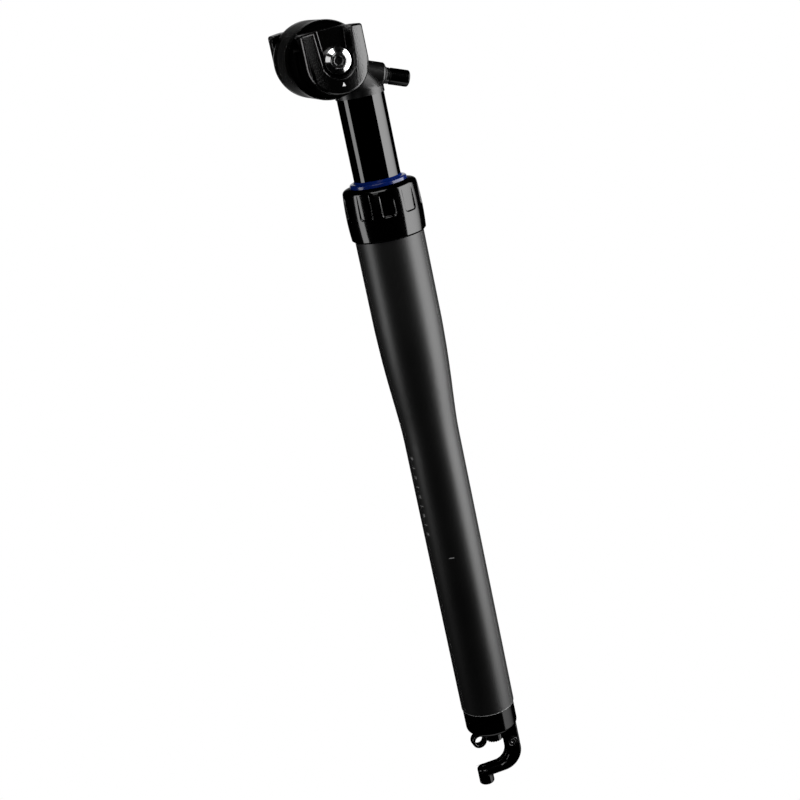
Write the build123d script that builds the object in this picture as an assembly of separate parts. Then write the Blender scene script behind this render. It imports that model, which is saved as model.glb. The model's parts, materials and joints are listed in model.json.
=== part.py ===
from build123d import *
import math
import os

# Dropper seatpost, in millimetres. Z runs up the post, X points forward and Y to the rider's left.
# The origin is on the post's axis, at the lower end of the outer tube.

# Clearances shared by all pieces
running_fit = 0.05
body_gap = 0.3
overrun = 2.0

# Release rod, its clip and its return spring, in the middle of everything
release_stroke = 3.3
rod_radius = 1.5
rod_tip = 3.0
clip_rim = 1.4
clip_height = 1.0
spring_wire_radius = 0.35
spring_length = 18.0
spring_turns = 9

# Stalk, expander and collet, one around the other
stalk_wall = 1.8
stalk_sink = 4.0
cross_pin_radius = 1.0
expander_wall = 1.4
expander_rise = 9.0
expander_length = 11.0
expander_nose = 1.6
collet_gap = 1.5
collet_base = 5.5
collet_length = 22.5
collet_base_step = 0.4
finger_room = 0.4
finger_wall = 1.5
finger_count = 6
finger_gap = 1.2
bump_rise = 0.9
bump_height = 4.0
bump_middle = 15.5

# Inner shaft and its travel
travel = 35.0
shaft_wall = 1.5
lock_groove_depth = 0.6
lock_groove_height = 5.0
lock_steps = 2

# Bushings, key sleeve and keys
lower_bushing_wall = 0.95
lower_bushing_length = 30.0
upper_bushing_wall = 3.25
upper_bushing_length = 16.5
key_sleeve_dip = 10.0
key_sleeve_seat_rise = 3.0
key_sleeve_room = 1.3
key_count = 3
key_width = 3.0
key_length = 13.0
key_stand = 2.2
key_pocket = 0.5
key_top_gap = 1.5
key_low_run = 4.0

# Outer tube: a straight part that the frame grips, a swell, and a wider straight part.
# Its radii follow from the shaft, the bushings and these walls, and come to the usual 27.2 mm across below.
# Its upper part is as long as the key sleeve and the upper bushing need.
insert_length = 148.0
swell_length = 62.0
swell_handle_shares = (0.23, 0.52)
lower_wall = 1.6
upper_wall = 2.0
tube_edge = 0.3
thread_depth = 0.6

# Collar with finger notches
collar_reach = 13.4
collar_height = 24.6
collar_stand = 1.75
collar_skirt = 1.4
collar_low_round = 0.9
collar_crown_share = 0.44
collar_top_fall = 0.7
collar_top_round = 2.0
collar_low_radius_share = 0.977
collar_shoulder_radius_share = 0.96
collar_land = 0.8
collar_lip = 3.0
notch_count = 10
notch_width = 6.4
notch_depth = 0.65
notch_corner = 1.3
notch_low = 11.3
notch_first_angle = -98.0

# Wiper ring and the O-ring under it
wiper_step = 0.3
wiper_ring_step = 1.2
wiper_flange = 2.0
wiper_edge = 0.85
wiper_lip = 0.8
collar_seal_wire = 0.95

# Shaft foot and end stops
foot_flange = 7.0
foot_spigot = 6.0
foot_bore_gap = 1.0
top_stop_gap = 0.4
top_bumper_height = 5.6
bottom_bumper_height = 7.6
bottom_bumper_wall = 4.0

# Air piston and its seal
piston_rise = 30.0
piston_height = 14.0
piston_socket = 6.0
piston_groove_rise = 7.0
piston_seal_height = 3.0
piston_seal_depth = 1.4

# Bottom cap
cap_inset = 0.4
cap_height = 12.8
cap_edge = 2.4
cap_spigot = 14.0
cap_seal_middle = 9.0
cap_seal_wire = 0.8

# Cable arm: straight down from the cap, a quarter bend back, then the housing barrel
arm_half_width = 4.0
arm_inset = 1.2
arm_thickness = 7.0
arm_drop = 15.2
arm_outer_bend = 10.5
arm_inner_bend = 6.4
arm_edge = 0.7
tongue_inset = 1.2
tongue_height = 7.8
arm_pin_radius = 1.25
arm_pin_depth = 5.0
cable_inset = 4.55
housing_radius = 2.55
housing_depth = 6.5
barrel_wall = 1.3
barrel_floor = 2.3
barrel_edge = 0.5
wire_hole_radius = 1.0
channel_depth = 1.4
channel_end_x = -2.6

# Cable lever and its screw
pivot_inset = 3.6
pivot_drop = 10.7
eye_wall = 1.35
lever_half_width = 2.0
leg_width = 4.4
pad_drop = 2.6
pad_thickness = 1.9
pad_radius = 4.2
pad_x = -0.9
pad_half_width = 3.4
slot_reach = 2.4
nipple_drop = 5.6
nipple_hole_radius = 2.4
nipple_eye_wall = 1.5
screw_radius = 1.2
screw_head_step = 0.9
screw_head_height = 0.8
screw_ring_gap = 0.4
screw_ring_depth = 1.0
screw_key = 2.0
screw_key_depth = 0.5

# Rod end under the lever's pad
rod_end_height = 4.8
rod_end_gap = 0.2
rib_count = 20
rib_depth = 0.35
rib_width = 0.7

# Head: neck, drum and web
neck_clearance = 5.6
neck_step = 0.4
neck_height = 2.6
spigot_length = 17.8
head_seal_drop = 12.8
air_bore_radius = 4.0
drum_x = -15.25
drum_rise = 19.5
drum_radius = 17.4
drum_half_width = 8.0
drum_wall = 8.4
web_length = 25.0
web_top_drop = 1.3
web_shift = 3.5

# Rails of the saddle
rail_radius = 3.5
rail_y = 22.0
rail_rise = 8.7
jaw_gap = 0.2

# Cradles: round plates on both sides of the drum
cradle_radius = 17.4
cradle_taper = 1.6
cradle_straight_share = 0.45
cradle_edge_share = 0.33
cradle_hub = 7.2
cradle_room = 0.5

# Clamp bolt and nut, sunk in deep cone washers with a narrow foot
bolt_radius = 2.5
nut_wall = 0.8
nut_inset = 0.1
bolt_head_step = 0.3
bolt_head_height = 2.0
bolt_key = 4.0
bolt_key_depth = 1.6
bolt_edge = 0.4
bolt_end_gap = 0.5
bolt_head_stand = 0.5
washer_rim = 2.15
washer_foot = 1.2
washer_height = 4.0
washer_low = 2.6
washer_land = 0.4

# Outer clamps, with a crowned face and a drafted pocket that widens upwards
pocket_room = 0.5
pocket_depth = 4.8
pocket_draft = 31.5
pocket_lean = 4.5
clamp_arm_width = 6.0
clamp_rise = 13.9
clamp_drop = 14.3
clamp_flat = 0.6
clamp_thickness = 13.2
clamp_top_arc = 120.0
clamp_crown_radius = 34.0
clamp_top_corner = 1.2
clamp_edge = 0.8

# Valve: its axis leaves the head forwards and slopes down
valve_slope = 20.0
valve_reach = 4.2
valve_rise = 5.25
boss_wall = 2.6
boss_end = -3.4
boss_start = -20.0
boss_edge = 1.3
valve_thread_radius = 3.0
valve_depth = 9.0
valve_flange_step = 0.7
valve_flange = 1.2
valve_tip_gap = 0.8
valve_bore_radius = 1.3
valve_seal_wire = 0.5
pin_radius = 0.7
pin_guide = 2.0
pin_recess = 0.6
valve_cap_side = 0.8
valve_cap_length = 9.6
valve_cap_edge = 0.9
valve_cap_wall = 1.6
valve_cap_lead = 0.6
air_hole_radius = 1.4

# Radii that follow, from the rod outwards
clip_radius = rod_radius + clip_rim
stalk_bore_radius = clip_radius + body_gap
spring_radius = stalk_bore_radius - 2 * spring_wire_radius
stalk_radius = stalk_bore_radius + stalk_wall
expander_radius = stalk_radius + expander_wall
finger_inner_radius = expander_radius + finger_room
finger_outer_radius = finger_inner_radius + finger_wall
collet_base_radius = finger_outer_radius + collet_base_step
bump_radius = finger_outer_radius + bump_rise
shaft_bore_radius = bump_radius + body_gap
shaft_radius = shaft_bore_radius + shaft_wall
bushing_bore_radius = shaft_radius + running_fit
lower_bore_radius = bushing_bore_radius + lower_bushing_wall
insert_radius = lower_bore_radius + lower_wall
upper_bore_radius = bushing_bore_radius + upper_bushing_wall
swell_radius = upper_bore_radius + upper_wall
key_sleeve_bore_radius = shaft_radius + key_sleeve_room
key_tip_radius = shaft_radius + key_stand
foot_radius = lower_bore_radius - body_gap
piston_radius = shaft_bore_radius - body_gap
collar_radius = swell_radius + collar_stand
wiper_skirt_radius = upper_bore_radius + wiper_step
wiper_ring_radius = wiper_skirt_radius - wiper_ring_step
collar_top_radius = wiper_ring_radius + collar_land
cap_radius = insert_radius - cap_inset
neck_radius = shaft_radius + neck_step
bolt_room_radius = bolt_radius + body_gap
nut_sleeve_radius = bolt_radius + nut_wall
bolt_head_radius = nut_sleeve_radius + bolt_head_step
washer_radius = bolt_head_radius + washer_rim
washer_foot_radius = washer_radius - washer_foot
pocket_floor_radius = washer_foot_radius + pocket_room
boss_radius = valve_thread_radius + boss_wall
valve_flange_radius = valve_thread_radius + valve_flange_step
valve_cap_radius = valve_thread_radius + valve_cap_side
eye_radius = screw_radius + running_fit + eye_wall
screw_head_radius = screw_radius + screw_head_step
screw_ring_radius = screw_head_radius + screw_ring_gap
nipple_eye_radius = nipple_hole_radius + nipple_eye_wall
barrel_radius = housing_radius + barrel_wall
foot_bore_radius = stalk_radius + foot_bore_gap
bottom_bumper_radius = stalk_radius + bottom_bumper_wall
drum_bore_radius = drum_radius - drum_wall
cradle_face_radius = cradle_radius - cradle_taper
key_sleeve_skirt_radius = upper_bore_radius - body_gap

# Heights that follow, from the tube's lower end upwards
swell_top = insert_length + swell_length
shaft_low = insert_length - lower_bushing_length - top_stop_gap - top_bumper_height
collet_low = shaft_low + foot_spigot + collet_gap
expander_low = collet_low + expander_rise
piston_low = collet_low + collet_length + piston_rise
piston_seal_low = piston_low + piston_groove_rise
key_sleeve_low = swell_top - key_sleeve_dip
key_sleeve_seat = swell_top + key_sleeve_seat_rise
key_sleeve_top = key_sleeve_low + travel + key_length + key_top_gap - key_low_run
tube_length = key_sleeve_top + upper_bushing_length
collar_low = tube_length - collar_reach
collar_top = collar_low + collar_height
collar_lip_low = collar_top - collar_lip
shaft_top = collar_top + travel + neck_clearance
drum_z = shaft_top + drum_rise
rail_z = drum_z + rail_rise
clamp_top = drum_z + clamp_rise
clamp_low = drum_z - clamp_drop
valve_z = shaft_top + valve_rise
head_seal_middle = shaft_top - head_seal_drop
stalk_low = -stalk_sink
clip_low = stalk_low + spring_length
arm_bend_z = -cap_height - arm_drop
barrel_length = housing_depth + barrel_floor
pivot_z = -cap_height - pivot_drop
pad_low = -cap_height - pad_drop
nipple_z = -cap_height - nipple_drop

# Places across the post that follow
arm_outer_x = cap_radius - arm_inset
cable_x = cable_inset - cap_radius
rod_end_radius = -cable_x - nipple_eye_radius - body_gap
valve_x = neck_radius + valve_reach
web_x = drum_x + web_shift
cradle_inner = drum_half_width + body_gap
cradle_outer = rail_y - jaw_gap
clamp_inner = rail_y + jaw_gap
clamp_outer = clamp_inner + clamp_thickness
washer_seat = clamp_outer - pocket_depth
bolt_seat = washer_seat + washer_height + bolt_head_stand - bolt_head_height
pocket_half_width = pocket_floor_radius + pocket_depth * math.tan(math.radians(pocket_draft))
clamp_width = 2 * (pocket_half_width + clamp_arm_width)
clamp_corner = clamp_width / 2 - clamp_flat
nut_start = clamp_inner + nut_inset
pivot_x = arm_outer_x - pivot_inset
arm_inner_x = arm_outer_x - arm_thickness
channel_half_width = lever_half_width + body_gap
flange_start = boss_end + 2 * valve_seal_wire
valve_cap_start = flange_start + valve_flange + body_gap
valve_cap_end = valve_cap_start + valve_cap_length
valve_tip = valve_cap_end - valve_cap_wall - valve_tip_gap
FOOT = (Align.CENTER, Align.CENTER, Align.MIN)


def bar(radius, low, high, x=0, y=0):
    """Upright round bar."""
    return Pos(x, y, low) * Cylinder(radius, high - low, align=FOOT)


def sleeve(outer, inner, low, high):
    """Upright tube, cut clean through."""
    return bar(outer, low, high) - bar(inner, low - overrun, high + overrun)


def crossbar(radius, start, end, x, z):
    """Round bar along Y."""
    seat = Plane(origin=(x, start, z), x_dir=(1, 0, 0), z_dir=(0, 1, 0))
    return seat * Cylinder(radius, end - start, align=FOOT)


def along_x(radius, start, end, z, y=0):
    """Round bar along X."""
    seat = Plane(origin=(start, y, z), x_dir=(0, 1, 0), z_dir=(1, 0, 0))
    return seat * Cylinder(radius, end - start, align=FOOT)


def facing_right(distance, x, z):
    """Plane that looks to the rider's right, at a distance from the middle."""
    return Plane(origin=(x, -distance, z), x_dir=(1, 0, 0), z_dir=(0, -1, 0))


def block(low, high):
    """Box between two corners."""
    size = [b - a for a, b in zip(low, high)]
    return Pos(*low) * Box(*size, align=(Align.MIN, Align.MIN, Align.MIN))


def side_face(*pieces):
    """Closed outline in the XZ plane, as a face."""
    return make_face(Plane.XZ * (Curve() + list(pieces)))


def turned(*pieces):
    """Body turned round Z from an outline of radius and height."""
    return revolve(side_face(*pieces), Axis.Z)


def ring(middle_radius, wire, z):
    """O-ring round Z."""
    return Pos(0, 0, z) * Torus(middle_radius, wire)


def mirrored(shape):
    """The same shape on the rider's left."""
    return mirror(shape, Plane.XZ)


def swell_line(low_radius, high_radius):
    """Smooth curve of the tube's swell, from the straight part up."""
    first, second = (insert_length + share * swell_length for share in swell_handle_shares)
    low, high = (low_radius, insert_length), (high_radius, swell_top)
    return Bezier(low, (low_radius, first), (high_radius, second), high)


def outer_tube():
    thread_radius = swell_radius - thread_depth
    thread_low = collar_low + collar_skirt
    low_edge = Polyline(
        (lower_bore_radius, insert_length),
        (lower_bore_radius, 0),
        (insert_radius - tube_edge, 0),
        (insert_radius, tube_edge),
        (insert_radius, insert_length),
    )
    top = Polyline(
        (swell_radius, swell_top),
        (swell_radius, thread_low),
        (thread_radius, thread_low),
        (thread_radius, tube_length),
        (upper_bore_radius, tube_length),
        (upper_bore_radius, swell_top),
    )
    outside = swell_line(insert_radius, swell_radius)
    bore = swell_line(lower_bore_radius, upper_bore_radius)
    return turned(low_edge, outside, top, bore)


def notch(angle):
    """U-shaped finger notch, open at the collar's top."""
    reach = collar_radius + overrun
    low = collar_low + notch_low
    height = collar_top + overrun - low
    plane = Plane(origin=(0, 0, low + height / 2), x_dir=(0, 1, 0), z_dir=(1, 0, 0))
    face = Rectangle(notch_width, height)
    face = fillet(face.vertices().group_by(Axis.Y)[0], notch_corner)
    cut = extrude(plane * face, reach)
    cut -= bar(collar_radius - notch_depth, collar_low - overrun, collar_top + 2 * overrun)
    return Rot(0, 0, angle) * cut


def collar():
    low_radius = collar_radius * collar_low_radius_share
    shoulder = collar_top - collar_top_fall
    shoulder_radius = collar_radius * collar_shoulder_radius_share
    crown = collar_low + collar_height * collar_crown_share
    thread_radius = swell_radius - thread_depth
    low_end = (low_radius, collar_low + collar_low_round)
    foot = Polyline(
        (swell_radius, collar_low),
        (low_radius - collar_low_round, collar_low),
        low_end,
    )
    side = ThreePointArc(low_end, (collar_radius, crown), (shoulder_radius, shoulder))
    over = Line((shoulder_radius, shoulder), (collar_top_radius, collar_top))
    inside = Polyline(
        (collar_top_radius, collar_top),
        (wiper_ring_radius, collar_top),
        (wiper_ring_radius, collar_lip_low),
        (wiper_skirt_radius, collar_lip_low),
        (wiper_skirt_radius, tube_length),
        (thread_radius, tube_length),
        (thread_radius, collar_low + collar_skirt),
        (swell_radius, collar_low + collar_skirt),
        (swell_radius, collar_low),
    )
    face = side_face(foot, side, over, inside)
    face = fillet(face.vertices().sort_by_distance((shoulder_radius, 0, shoulder))[0], collar_top_round)
    body = revolve(face, Axis.Z)
    for step in range(notch_count):
        body -= notch(notch_first_angle + 360 * step / notch_count)
    return body


def wiper_seal():
    top = collar_top + wiper_flange
    seat = tube_length + 2 * collar_seal_wire
    outline = Polyline(
        (bushing_bore_radius, seat),
        (wiper_skirt_radius, seat),
        (wiper_skirt_radius, collar_lip_low),
        (wiper_ring_radius, collar_lip_low),
        (wiper_ring_radius, top - wiper_edge),
        (wiper_ring_radius - wiper_edge, top),
        (shaft_radius + wiper_lip, top),
        (bushing_bore_radius, top + wiper_lip),
        close=True,
    )
    return turned(outline)


def collar_seal():
    """O-ring that lies between the tube's end and the wiper."""
    return ring(wiper_skirt_radius - collar_seal_wire, collar_seal_wire, tube_length + collar_seal_wire)


def upper_bushing():
    return sleeve(upper_bore_radius, bushing_bore_radius, key_sleeve_top, tube_length)


def lower_bushing():
    return sleeve(lower_bore_radius, bushing_bore_radius, insert_length - lower_bushing_length, insert_length)


def key_angles():
    return [360 * step / key_count for step in range(key_count)]


def key_block(low, high, inner, tip, width):
    """Block across the shaft's wall for a key, its pocket or its keyway."""
    return block((inner, -width / 2, low), (tip, width / 2, high))


def key_sleeve():
    body = sleeve(upper_bore_radius, key_sleeve_bore_radius, key_sleeve_seat, key_sleeve_top)
    body += sleeve(key_sleeve_skirt_radius, key_sleeve_bore_radius, key_sleeve_low, key_sleeve_seat)
    way_width = key_width + 2 * running_fit
    way = key_block(key_sleeve_low - overrun, key_sleeve_top, 0, key_tip_radius + body_gap, way_width)
    for angle in key_angles():
        body -= Rot(0, 0, angle) * way
    return body


def key_places():
    high = key_sleeve_top - key_top_gap
    return high - key_length, high


def guide_keys():
    low, high = key_places()
    key = key_block(low, high, shaft_radius - key_pocket, key_tip_radius, key_width)
    return Compound(children=[Rot(0, 0, angle) * key for angle in key_angles()])


def lock_heights():
    """Heights of the collet's bumps at the top stop, at the middle step and at the bottom stop."""
    bump = collet_low + bump_middle
    return [bump + travel * step / lock_steps for step in range(lock_steps + 1)]


def shaft():
    body = sleeve(shaft_radius, shaft_bore_radius, shaft_low, shaft_top)
    for height in lock_heights():
        half = lock_groove_height / 2
        body -= bar(shaft_bore_radius + lock_groove_depth, height - half, height + half)
    low, high = key_places()
    pocket = key_block(low, high, shaft_radius - key_pocket, key_tip_radius, key_width)
    for angle in key_angles():
        body -= Rot(0, 0, angle) * pocket
    return body


def shaft_foot():
    body = bar(foot_radius, shaft_low - foot_flange, shaft_low)
    body += bar(shaft_bore_radius, shaft_low, shaft_low + foot_spigot)
    return body - bar(foot_bore_radius, shaft_low - foot_flange - overrun, shaft_low + foot_spigot + overrun)


def top_out_bumper():
    return sleeve(foot_radius, shaft_radius, shaft_low, shaft_low + top_bumper_height)


def bottom_out_bumper():
    high = shaft_low - foot_flange - travel - body_gap
    return sleeve(bottom_bumper_radius, stalk_radius, high - bottom_bumper_height, high)


def pin_height():
    """Height of the cross pin, in the middle of the expander."""
    return expander_low + expander_length / 2


def stalk_tube():
    body = sleeve(stalk_radius, stalk_bore_radius, stalk_low, piston_low + piston_socket)
    half = cross_pin_radius + running_fit
    low = pin_height() - release_stroke - cross_pin_radius - body_gap
    high = pin_height() + cross_pin_radius + running_fit
    reach = stalk_radius + overrun
    return body - block((-reach, -half, low), (reach, half, high))


def collet():
    low, high = collet_low, collet_low + collet_length
    body = sleeve(collet_base_radius, stalk_radius, low, low + collet_base)
    body += sleeve(finger_outer_radius, finger_inner_radius, low + collet_base, high)
    bump = low + bump_middle
    body += turned(Polyline(
        (finger_inner_radius, bump - bump_height),
        (finger_outer_radius, bump - bump_height),
        (bump_radius, bump - bump_height / 2),
        (bump_radius, bump + bump_height / 2),
        (finger_outer_radius, bump + bump_height),
        (finger_inner_radius, bump + bump_height),
        close=True,
    ))
    half = finger_gap / 2
    cut = block((0, -half, low + collet_base), (bump_radius + overrun, half, high + overrun))
    for step in range(finger_count):
        body -= Rot(0, 0, 360 * step / finger_count) * cut
    return body


def expander():
    low, high = expander_low, expander_low + expander_length
    bore = stalk_radius + running_fit
    nose_radius = (bore + expander_radius) / 2
    body = turned(Polyline(
        (bore, low),
        (nose_radius, low),
        (expander_radius, low + expander_nose),
        (expander_radius, high - expander_nose),
        (nose_radius, high),
        (bore, high),
        close=True,
    ))
    return body - along_x(cross_pin_radius, -expander_radius, expander_radius, pin_height())


def cross_pin():
    return along_x(cross_pin_radius, -expander_radius, expander_radius, pin_height())


def release_rod():
    low = pad_low - rod_end_gap - rod_end_height
    body = bar(rod_radius, low, pin_height() + rod_tip)
    return body - along_x(cross_pin_radius, -rod_radius - overrun, rod_radius + overrun, pin_height())


def spring_clip():
    return sleeve(clip_radius, rod_radius, clip_low, clip_low + clip_height)


def return_spring():
    """Round wire wound in a steady helix between the stalk's floor and the clip."""
    low = stalk_low + spring_wire_radius
    height = clip_low - stalk_low - 2 * spring_wire_radius
    pitch = height / spring_turns
    path = Pos(0, 0, low) * Helix(pitch, height, spring_radius)
    section = Plane(origin=path @ 0, z_dir=path % 0) * Circle(spring_wire_radius)
    print("return spring: least gap between turns", round(pitch - 2 * spring_wire_radius, 2), "mm")
    return sweep(section, path, is_frenet=True)


def air_piston():
    body = bar(piston_radius, piston_low, piston_low + piston_height)
    body -= bar(stalk_radius, piston_low - overrun, piston_low + piston_socket)
    high = piston_seal_low + piston_seal_height
    return body - sleeve(piston_radius + overrun, piston_radius - piston_seal_depth, piston_seal_low, high)


def piston_seal():
    outer = shaft_bore_radius - running_fit
    inner = piston_radius - piston_seal_depth
    return sleeve(outer, inner, piston_seal_low, piston_seal_low + piston_seal_height)


def seal_groove(outer, wire, middle):
    """Ring-shaped cut that an O-ring lies in, its outside level with the outer radius."""
    return sleeve(outer + overrun, outer - 2 * wire, middle - wire, middle + wire)


def bottom_cap():
    body = bar(cap_radius, -cap_height, 0)
    body = fillet(body.edges().group_by(Axis.Z)[0], cap_edge)
    body += bar(lower_bore_radius, 0, cap_spigot)
    body -= seal_groove(lower_bore_radius, cap_seal_wire, cap_seal_middle)
    body -= bar(stalk_radius, stalk_low, cap_spigot + overrun)
    body -= bar(rod_radius + running_fit, -cap_height - overrun, stalk_low)
    body -= tongue()
    return body - arm_pin()


def cap_seal():
    return ring(lower_bore_radius - cap_seal_wire, cap_seal_wire, cap_seal_middle)


def tongue():
    """The arm's tongue, which sits in the cap."""
    inner_x = arm_inner_x + tongue_inset
    outer_x = arm_outer_x - tongue_inset
    top = tongue_height - cap_height
    return block((inner_x, -arm_half_width, -cap_height), (outer_x, arm_half_width, top))


def arm_pin():
    """Pin through the tongue, fitted from the rider's left and filed flush with the cap."""
    x = arm_outer_x - arm_thickness / 2
    z = -cap_height + tongue_height / 2
    pin = crossbar(arm_pin_radius, -arm_pin_depth, cap_radius, x, z)
    return pin & bar(cap_radius, -cap_height, 0)


def arm_outline():
    """Side view of the arm without its barrel."""
    outer_low = arm_bend_z - arm_outer_bend
    inner_low = arm_bend_z - arm_inner_bend
    return side_face(
        Line((arm_inner_x, -cap_height), (arm_outer_x, -cap_height)),
        Line((arm_outer_x, -cap_height), (arm_outer_x, arm_bend_z)),
        RadiusArc((arm_outer_x, arm_bend_z), (arm_outer_x - arm_outer_bend, outer_low), arm_outer_bend),
        Line((arm_outer_x - arm_outer_bend, outer_low), (cable_x, outer_low)),
        Line((cable_x, outer_low), (cable_x, inner_low)),
        Line((cable_x, inner_low), (arm_inner_x - arm_inner_bend, inner_low)),
        RadiusArc((arm_inner_x - arm_inner_bend, inner_low), (arm_inner_x, arm_bend_z), -arm_inner_bend),
        Line((arm_inner_x, arm_bend_z), (arm_inner_x, -cap_height)),
    )


def lever_slot():
    """Room between the arm's cheeks for the lever's leg, and the channel that follows the bend."""
    wide = channel_half_width
    room = pivot_x + eye_radius + body_gap
    low = pivot_z - eye_radius - 2 * body_gap
    cut = block((arm_inner_x - overrun, -wide, low), (room, wide, -cap_height))
    bend_x = arm_inner_x - arm_inner_bend
    curve = crossbar(arm_inner_bend + channel_depth, -wide, wide, bend_x, arm_bend_z)
    keep = block((channel_end_x, -wide, arm_bend_z - arm_outer_bend), (arm_outer_x, wide, arm_bend_z))
    straight = block((arm_inner_x - overrun, -wide, arm_bend_z), (arm_inner_x + channel_depth, wide, low))
    return cut + (curve & keep) + straight


def cable_arm():
    body = extrude(arm_outline(), arm_half_width, both=True)
    low_edges = body.edges().filter_by(Axis.Y, reverse=True)
    low_edges = low_edges.filter_by(lambda edge: edge.center().Z < -cap_height - arm_edge)
    low_edges = low_edges.filter_by(lambda edge: edge.center().X > cable_x + arm_edge)
    body = chamfer(low_edges, arm_edge)
    top = arm_bend_z - arm_inner_bend
    low = top - barrel_length
    barrel = bar(barrel_radius, low, top, x=cable_x)
    body += chamfer(barrel.edges().filter_by(GeomType.CIRCLE), barrel_edge)
    body -= bar(wire_hole_radius, low - overrun, top + overrun, x=cable_x)
    body -= bar(housing_radius, low - overrun, low + housing_depth, x=cable_x)
    body -= lever_slot()
    body += tongue()
    far = arm_half_width + overrun
    body -= crossbar(screw_radius, -far, far, pivot_x, pivot_z)
    body -= crossbar(screw_ring_radius, -far, -arm_half_width + screw_ring_depth, pivot_x, pivot_z)
    return body - arm_pin()


def hex_socket(size, start, end, x, z):
    """Six-sided socket along Y, measured across its flats."""
    seat = Plane(origin=(x, start, z), x_dir=(1, 0, 0), z_dir=(0, 1, 0))
    return extrude(seat * RegularPolygon(size / math.sqrt(3), 6), end - start)


def lever_screw():
    seat = -arm_half_width + screw_ring_depth
    body = crossbar(screw_radius, seat, arm_half_width, pivot_x, pivot_z)
    body += crossbar(screw_head_radius, seat - screw_head_height, seat, pivot_x, pivot_z)
    start = seat - screw_head_height
    return body - hex_socket(screw_key, start, start + screw_key_depth, pivot_x, pivot_z)


def cable_lever():
    """Leg up from the pivot, a flat pad over the rod end, and an eye for the cable's nipple."""
    high = pad_low + pad_thickness
    half = lever_half_width
    leg_low_x = pivot_x - leg_width / 2
    pad_left = pad_x - pad_radius
    leg = block((leg_low_x, -half, pivot_z), (pivot_x + leg_width / 2, half, high))
    bridge = block((pad_left, -half, pad_low), (pivot_x + leg_width / 2, half, high))
    drop = extrude(side_face(Polyline(
        (cable_x - nipple_eye_radius, nipple_z),
        (cable_x, high),
        (pad_left + pad_thickness, high),
        (pad_left + pad_thickness, pad_low),
        (pad_left, pad_low),
        (cable_x + nipple_eye_radius, nipple_z),
        close=True,
    )), half, both=True)
    body = leg + bridge + drop
    pad_right = arm_inner_x - body_gap
    body += block((pad_x, -pad_half_width, pad_low), (pad_right, pad_half_width, high))
    body += bar(pad_radius, pad_low, high, x=pad_x)
    body += crossbar(eye_radius, -half, half, pivot_x, pivot_z)
    body += crossbar(nipple_eye_radius, -half, half, cable_x, nipple_z)
    body -= crossbar(nipple_hole_radius, -half - overrun, half + overrun, cable_x, nipple_z)
    body -= crossbar(screw_radius + running_fit, -half - overrun, half + overrun, pivot_x, pivot_z)
    slot = rod_radius + body_gap
    for x in (0, slot_reach):
        body -= bar(slot, pad_low - overrun, high + overrun, x=x)
    return body - block((0, -slot, pad_low - overrun), (slot_reach, slot, high + overrun))


def rod_end():
    high = pad_low - rod_end_gap
    body = bar(rod_end_radius, high - rod_end_height, high)
    rib = block((rod_end_radius - rib_depth, -rib_width / 2, high - rod_end_height - overrun),
                (rod_end_radius + overrun, rib_width / 2, high + overrun))
    for step in range(rib_count):
        body -= Rot(0, 0, 360 * step / rib_count) * rib
    return body - bar(rod_radius, high - rod_end_height - overrun, high + overrun)


def valve_plane():
    """Plane across the valve, looking out along its axis."""
    slope = math.radians(valve_slope)
    return Plane(origin=(valve_x, 0, valve_z), z_dir=(math.cos(slope), 0, -math.sin(slope)))


def valve_bar(radius, start, end):
    """Round bar along the valve's axis, from one place on it to another."""
    return valve_plane() * Pos(0, 0, start) * Cylinder(radius, end - start, align=FOOT)


def head():
    neck_low = shaft_top
    web_low = neck_low + neck_height
    body = bar(neck_radius, neck_low, web_low)
    foot_face = Pos(0, 0, web_low) * Circle(neck_radius)
    top_face = Pos(web_x, 0, drum_z - web_top_drop) * RectangleRounded(
        web_length, 2 * drum_half_width, drum_half_width - body_gap)
    body += loft([foot_face, top_face])
    body += crossbar(drum_radius, -drum_half_width, drum_half_width, drum_x, drum_z)
    boss = valve_bar(boss_radius, boss_start, boss_end)
    body += fillet(boss.edges().sort_by(Axis.X)[-1], boss_edge)
    room = cradle_radius + cradle_room
    for start, end in ((-cradle_outer, -drum_half_width), (drum_half_width, cradle_outer)):
        body -= crossbar(room, start, end, drum_x, drum_z)
    body -= crossbar(drum_bore_radius, -cradle_outer, cradle_outer, drum_x, drum_z)
    body += bar(shaft_bore_radius, neck_low - spigot_length, neck_low)
    body -= seal_groove(shaft_bore_radius, cap_seal_wire, head_seal_middle)
    air_bore_top = valve_z + valve_x * math.tan(math.radians(valve_slope))
    body -= bar(air_bore_radius, neck_low - spigot_length - overrun, air_bore_top)
    body -= valve_bar(boss_radius - boss_edge, boss_end, boss_end + overrun)
    body -= valve_bar(valve_thread_radius, boss_end - valve_depth, boss_end + overrun)
    return body - valve_bar(air_hole_radius, boss_end - valve_depth - overrun, boss_end)


def head_seal():
    return ring(shaft_bore_radius - cap_seal_wire, cap_seal_wire, head_seal_middle)


def valve_body():
    body = valve_bar(valve_thread_radius, boss_end - valve_depth, valve_tip)
    body += valve_bar(valve_flange_radius, flange_start, flange_start + valve_flange)
    return body - valve_bar(valve_bore_radius, boss_end - valve_depth - overrun, valve_tip + overrun)


def valve_seal():
    seat = valve_plane() * Pos(0, 0, boss_end + valve_seal_wire)
    return seat * Torus(valve_thread_radius + valve_seal_wire, valve_seal_wire)


def valve_pin():
    start = boss_end - valve_depth + pin_guide
    body = valve_bar(pin_radius, start, valve_tip - pin_recess)
    return body + valve_bar(valve_bore_radius - running_fit, start, start + pin_guide)


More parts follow.
